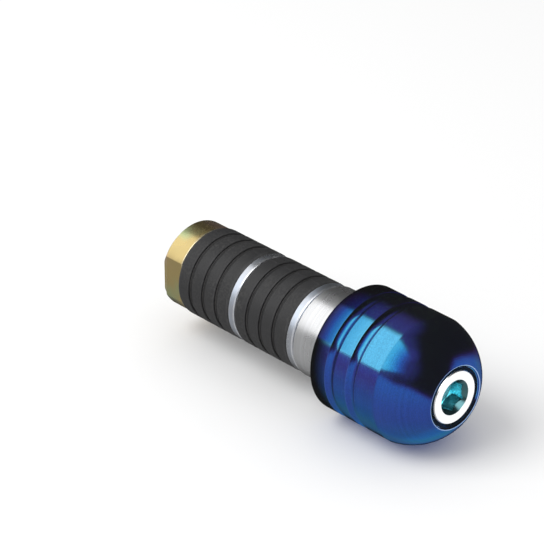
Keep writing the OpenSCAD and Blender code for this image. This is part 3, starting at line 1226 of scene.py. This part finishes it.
def softbox_colour(n, s, towards):
    """The softbox by direction, and how much of it lies there."""
    from_left = n.dot(towards, side_of(TOP_LEFT, FOOT_LEFT))
    below_top = n.ramp(n.dot(towards, side_of(TOP_LEFT, TOP_RIGHT)), *SOFTBOX_TOP)
    above_foot = n.ramp(n.dot(towards, side_of(FOOT_LEFT, FOOT_RIGHT)), *SOFTBOX_FOOT)
    inside = n.times(n.times(below_top, above_foot), n.ramp(from_left, *SOFTBOX_LEFT))
    return n.scale(n.stops(from_left, 0.0, 1.0, SOFTBOX_FADE), s.softbox), inside


def ground_colour(n, towards):
    """The ground below the horizon, whose edge turns violet before it ends."""
    x, y, z = n.split(towards)
    plain, left = n.stops(z, -1.0, 1.0, GROUND), n.stops(z, -1.0, 1.0, LEFT_GROUND)
    ground = n.blend(n.ramp(x, *LEFT_STARTS), plain, left)
    ground = n.blend(n.ramp(n.dot(towards, PATCH), *PATCH_REACH), ground, PATCH_COLOUR)
    # The line's heights are greys of a ramp, from black at 45 degrees down to white at 45 degrees up
    line = [(math.radians(at), [0.5 + level / 90] * 3) for at, level in HORIZON_LINE]
    compass = n.math("ARCTAN2", y, x)
    level = n.add("ShaderNodeSeparateColor", {0: n.stops(compass, -math.pi, math.pi, line)}).outputs[0]
    level = n.ramp(level, 0.0, 1.0, -math.pi / 4, math.pi / 4, "LINEAR")
    above = n.minus(n.math("ARCSINE", z), level)
    shares = [n.ramp(above, *reach) for reach in EDGE_REACHES]
    under = n.add("ShaderNodeCombineColor", enumerate(shares)).outputs[0]
    lit = n.stops(n.dot(towards, AWAY), -1.0, 1.0, AWAY_SHADE)
    return n.blend(1.0, n.blend(1.0, ground, under, "MULTIPLY"), lit, "MULTIPLY")


def blue_tent_colours(n, s):
    """The softbox, its violet halo and the ground, by direction from the tent's middle."""
    towards = n.vector("NORMALIZE", {0: n.place()})
    around = 0.0
    for direction, start, whole in HALO_LOBES:
        around = n.most(around, n.ramp(n.dot(towards, direction), start, whole))
    backdrop = n.blend(1.0, n.scale(HALO, around), ground_colour(n, towards), "LIGHTEN")
    softbox, inside = softbox_colour(n, s, towards)
    return n.blend(1.0, backdrop, n.scale(softbox, inside), "LIGHTEN")


def plain_tent_colours(n, s):
    """The same light in grey and with a dimmer softbox, and the two cards."""
    shade = n.add("ShaderNodeRGBToBW", {0: blue_tent_colours(n, s)}).outputs[0]
    brightest = n.least(shade, n.mix(s.plain_share, 1.0, shade))
    towards = n.vector("NORMALIZE", {0: n.place()})
    for direction, start, whole, radiance in CARDS:
        card = n.ramp(n.dot(towards, direction), start, whole)
        brightest = n.most(brightest, n.times(card, radiance))
    return n.scale((1.0, 1.0, 1.0), n.most(brightest, PLAIN_ROOM))


def shade_shader(n):
    """Dark close to the axis and clear further out. From behind it is clear all over."""
    spot = n.place()
    away = n.vector("LENGTH", {0: spot}, "Value")
    reach = n.ramp(away, radius("weight"), SHADE_RADIUS, kind="LINEAR")
    high = n.ramp(n.dot(spot, SHADE_UP), *SHADE_HIGH)
    even = n.scale((1.0, 1.0, 1.0), n.ramp(reach, *HIGH_FADE))
    clear = n.blend(high, even, n.stops(reach, 0.0, 1.0, SHADE_FADE))
    behind = n.add("ShaderNodeNewGeometry").outputs["Backfacing"]
    clear = n.blend(behind, clear, (1.0, 1.0, 1.0))
    return n.add("ShaderNodeBsdfTransparent", {"Color": clear}).outputs[0]


class BARWEIGHT_OT_stage(bpy.types.Operator):
    """Set the floor, the lights and the camera"""

    bl_idname = "bar_weight.stage"
    bl_label = "Stage"

    def camera(self, s):
        """Places the camera where the photograph was taken from."""
        a, e = math.radians(s.azimuth), math.radians(s.elevation)
        right = Vector((math.cos(a), math.sin(a), 0))
        back = Vector((math.sin(a) * math.cos(e), -math.cos(a) * math.cos(e), math.sin(e)))
        up = back.cross(right)
        across, down = ((pixel - PICTURE / 2) * PIXEL for pixel in RIM_PIXEL)
        rim = Vector((front("weight"), 0, 0))
        place = rim - right * across + up * down + back * FOCAL_PIXELS * PIXEL
        data = bpy.data.cameras.new("Camera")
        data.sensor_width = SENSOR
        data.lens = SENSOR * FOCAL_PIXELS / PICTURE
        data.clip_start = CLIP_START
        camera = fresh_object("Camera", data)
        camera.matrix_world = Matrix.Translation(place) @ Matrix((right, up, back)).transposed().to_4x4()
        bpy.context.scene.camera = camera

    def floor(self, s):
        """Lays a plain pale floor under the body. The tents stand for it in reflections."""
        mesh = disc("Floor", FLOOR_RADIUS)
        floor = fresh_object("Floor", mesh)
        floor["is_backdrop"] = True
        floor.location.z = CAD_BOX[0].z
        floor.visible_glossy = False
        paper = bpy.data.materials.new("Floor Paper")
        paper.use_nodes = True
        n = Nodes(paper.node_tree)
        shader = paper.node_tree.nodes["Principled BSDF"].inputs
        n.put(shader["Base Color"], [s.floor_tone] * 3)
        n.put(shader["Roughness"], 1.0)
        n.put(shader["Specular IOR Level"], 0.0)
        mesh.materials.append(paper)

    def world(self, s):
        """Pale to the camera, even light on the floor, and a dark room in reflections."""
        world = bpy.data.worlds.new("Studio")
        bpy.context.scene.world = world
        world.use_nodes = True
        n = Nodes(world.node_tree)
        path = n.add("ShaderNodeLightPath").outputs
        lit = n.blend(path["Is Glossy Ray"], [s.ambient] * 3, [ROOM] * 3)
        shown = n.blend(path["Is Camera Ray"], lit, [s.floor_tone] * 3)
        n.put(world.node_tree.nodes["Background"].inputs["Color"], shown)

    def tent(self, s, name, radius, colours, pieces):
        """Surrounds the named pieces with light that only they mirror."""
        mesh = made_mesh(name, bmesh.ops.create_icosphere, subdivisions=5, radius=radius)
        tent = light_shell(name, mesh, lambda n: clear_light(n, colours(n, s)))
        tent.location = weight_middle()
        receivers = bpy.data.collections.new(name + " Receivers")
        for piece in pieces:
            receivers.objects.link(bpy.data.objects[piece])
        tent.light_linking.receiver_collection = receivers

    def shade_ring(self):
        """Stands a dark ring behind the weight, which the rear band mirrors as it darkens backwards."""
        sheet = light_shell("Shade Ring", disc("Shade Ring", SHADE_RADIUS), shade_shader)
        sheet.rotation_euler = (0, math.pi / 2, 0)
        sheet.location = (SHADE_STATION, 0, 0)

    def key_light(self, s):
        """Lights the floor and the matt pieces from where the softbox hangs."""
        data = bpy.data.lights.new("Key Light", "AREA")
        data.size = KEY_SIZE
        data.energy = s.key
        light = fresh_object("Key Light", data)
        light.location = weight_middle() + SOFTBOX_MIDDLE * BLUE_TENT_RADIUS
        light.rotation_euler = SOFTBOX_MIDDLE.to_track_quat("Z", "Y").to_euler()
        light.visible_glossy = False

    def execute(self, context):
        s = context.scene.bar_weight_stage
        self.camera(s)
        self.floor(s)
        self.world(s)
        self.tent(s, "Blue Tent", BLUE_TENT_RADIUS, blue_tent_colours, ["turned_weight"])
        self.tent(s, "Plain Tent", PLAIN_TENT_RADIUS, plain_tent_colours, OTHER_PIECES)
        self.shade_ring()
        self.key_light(s)
        context.scene.view_settings.view_transform = "Standard"
        return {"FINISHED"}


# Panel and registration


class BARWEIGHT_PT_panel(bpy.types.Panel):
    """Lists the pieces and their sizes in the sidebar"""

    bl_idname = "BARWEIGHT_PT_panel"
    bl_label = "Bar End Weight"
    bl_space_type = "VIEW_3D"
    bl_region_type = "UI"
    bl_category = "Bar End"

    def draw(self, context):
        for label, settings, _, operators in SECTIONS:
            box = self.layout.box()
            box.label(text=label)
            group = getattr(context.scene, settings)
            for prop in group.__annotations__:
                box.prop(group, prop)
            for operator in operators:
                box.operator(operator.bl_idname)


# Each section's label, the name and the class of its settings, and its operators
SECTIONS = (
    ("Weight", "bar_weight_body", WeightSizes, (BARWEIGHT_OT_weight,)),
    ("Cap Screw", "bar_weight_screw", ScrewSizes, (BARWEIGHT_OT_cap_screw,)),
    (
        "Expanding Set",
        "bar_weight_set",
        SetSizes,
        (BARWEIGHT_OT_collar, BARWEIGHT_OT_washers, BARWEIGHT_OT_sleeves, BARWEIGHT_OT_nut),
    ),
    ("Finishes", "bar_weight_finishes", Finishes, ()),
    ("Stage", "bar_weight_stage", StageSettings, (BARWEIGHT_OT_stage,)),
)
SETTINGS = {name: kind for _, name, kind, _ in SECTIONS}
OPERATORS = [operator for *_, operators in SECTIONS for operator in operators]
CLASSES = (*SETTINGS.values(), *OPERATORS, BARWEIGHT_PT_panel)


def register():
    for kind in CLASSES:
        bpy.utils.register_class(kind)
    for name, kind in SETTINGS.items():
        setattr(bpy.types.Scene, name, PointerProperty(type=kind))


def unregister():
    for name in SETTINGS:
        delattr(bpy.types.Scene, name)
    for kind in reversed(CLASSES):
        bpy.utils.unregister_class(kind)


def main():
    register()
    bpy.ops.bar_weight.weight()
    bpy.ops.bar_weight.cap_screw()
    bpy.ops.bar_weight.collar()
    bpy.ops.bar_weight.washers()
    bpy.ops.bar_weight.sleeves()
    bpy.ops.bar_weight.nut()
    bpy.ops.bar_weight.stage()
    boxes = {"cad": CAD_BOX, "visual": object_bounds()}
    {name: [list(corner) for corner in box] for name, box in boxes.items()}


if __name__ == "__main__":
    main()
